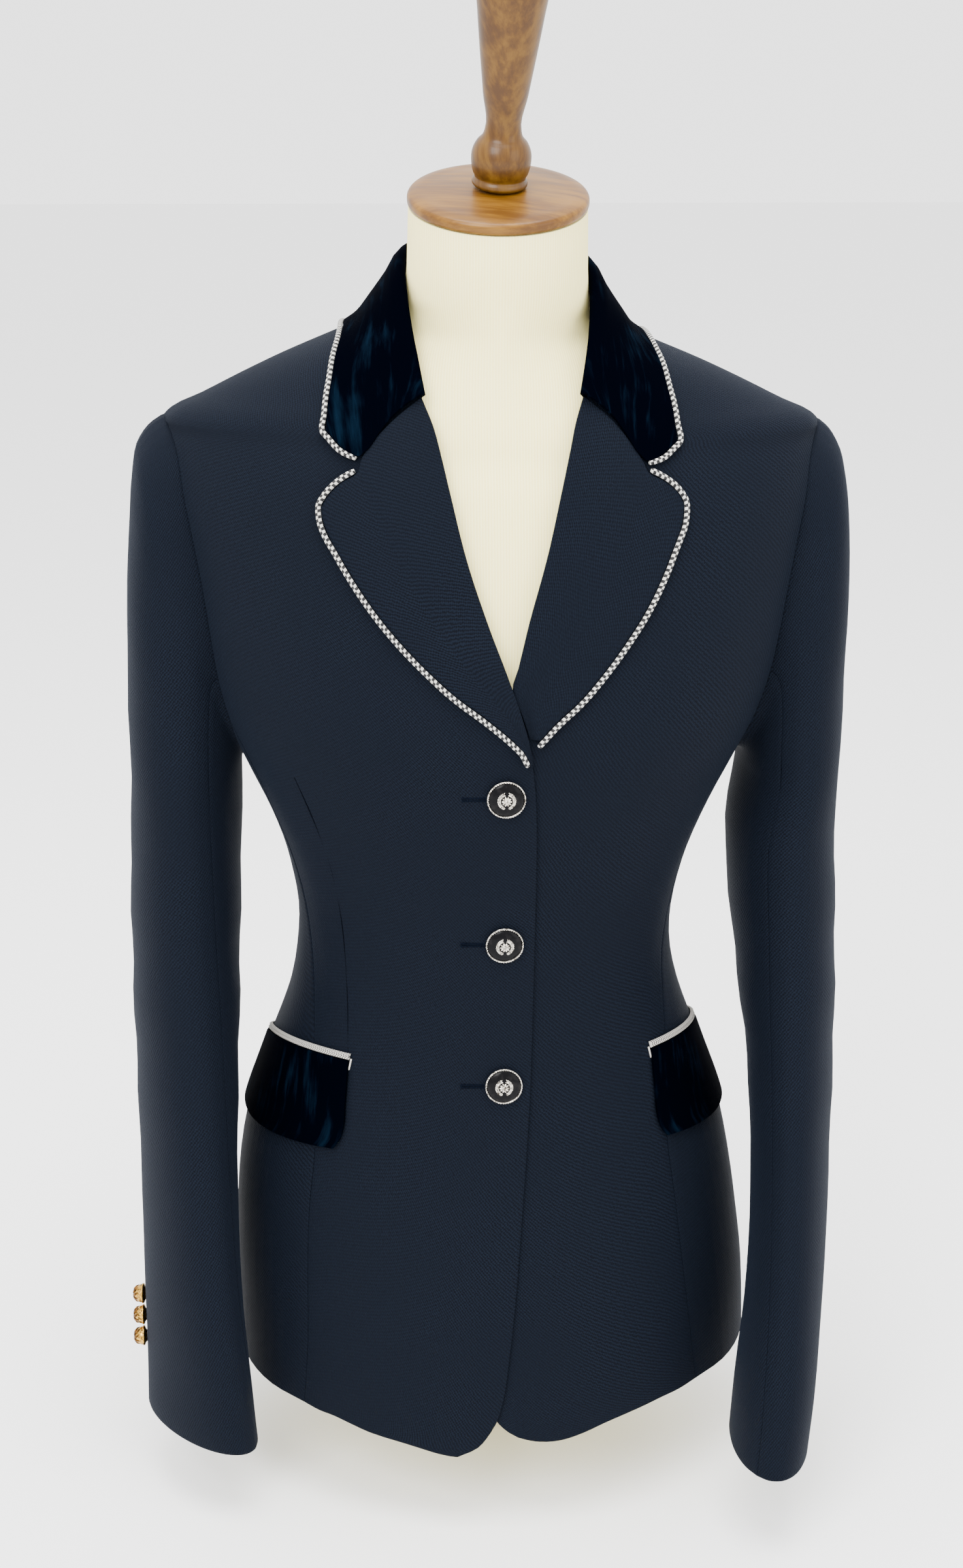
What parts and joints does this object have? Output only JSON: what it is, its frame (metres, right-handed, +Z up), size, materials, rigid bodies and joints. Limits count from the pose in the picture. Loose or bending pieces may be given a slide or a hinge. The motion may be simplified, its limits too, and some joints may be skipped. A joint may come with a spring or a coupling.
{
  "type": "equestrian show coat on a limbless dress form",
  "caption": "Navy wool equestrian show coat with black velvet collar and pocket flaps, check piping and gilt buttons, buttoned on a cream limbless dress form.",
  "frame": {"origin": "on the base's underside, below the middle of the shoulders", "axes": "+Z up, the coat faces -Y, the wearer's left is +X"},
  "size_m": [0.4623, 0.2971, 0.9569],
  "materials": {
    "navy_wool": "matt",
    "navy_velvet": "napped",
    "check_piping": "matt",
    "cream_jersey": "matt",
    "honey_wood": "satin varnish",
    "gilt_button": "polished"
  },
  "bodies": {
    "root": {"form_torso": "cream_jersey", "form_neck_cap": "honey_wood", "form_finial": "honey_wood", "form_post": "honey_wood", "form_base": "honey_wood", "front_right": "navy_wool", "front_left": "navy_wool", "side_right": "navy_wool", "side_left": "navy_wool", "back_right": "navy_wool", "back_left": "navy_wool", "sleeve_top_right": "navy_wool", "sleeve_under_right": "navy_wool", "sleeve_top_left": "navy_wool", "sleeve_under_left": "navy_wool", "lapel_right": "navy_wool", "lapel_left": "navy_wool", "collar": "navy_velvet", "flap_right": "navy_velvet", "flap_left": "navy_velvet", "welt_right": "check_piping", "welt_left": "check_piping", "piping_collar": "check_piping", "piping_lapel_right": "check_piping", "piping_lapel_left": "check_piping", "front_button_1": "gilt_button", "front_button_2": "gilt_button", "front_button_3": "gilt_button", "cuff_button_right_1": "gilt_button", "cuff_button_right_2": "gilt_button", "cuff_button_right_3": "gilt_button", "cuff_button_left_1": "gilt_button", "cuff_button_left_2": "gilt_button", "cuff_button_left_3": "gilt_button"}
  },
  "joints": []
}
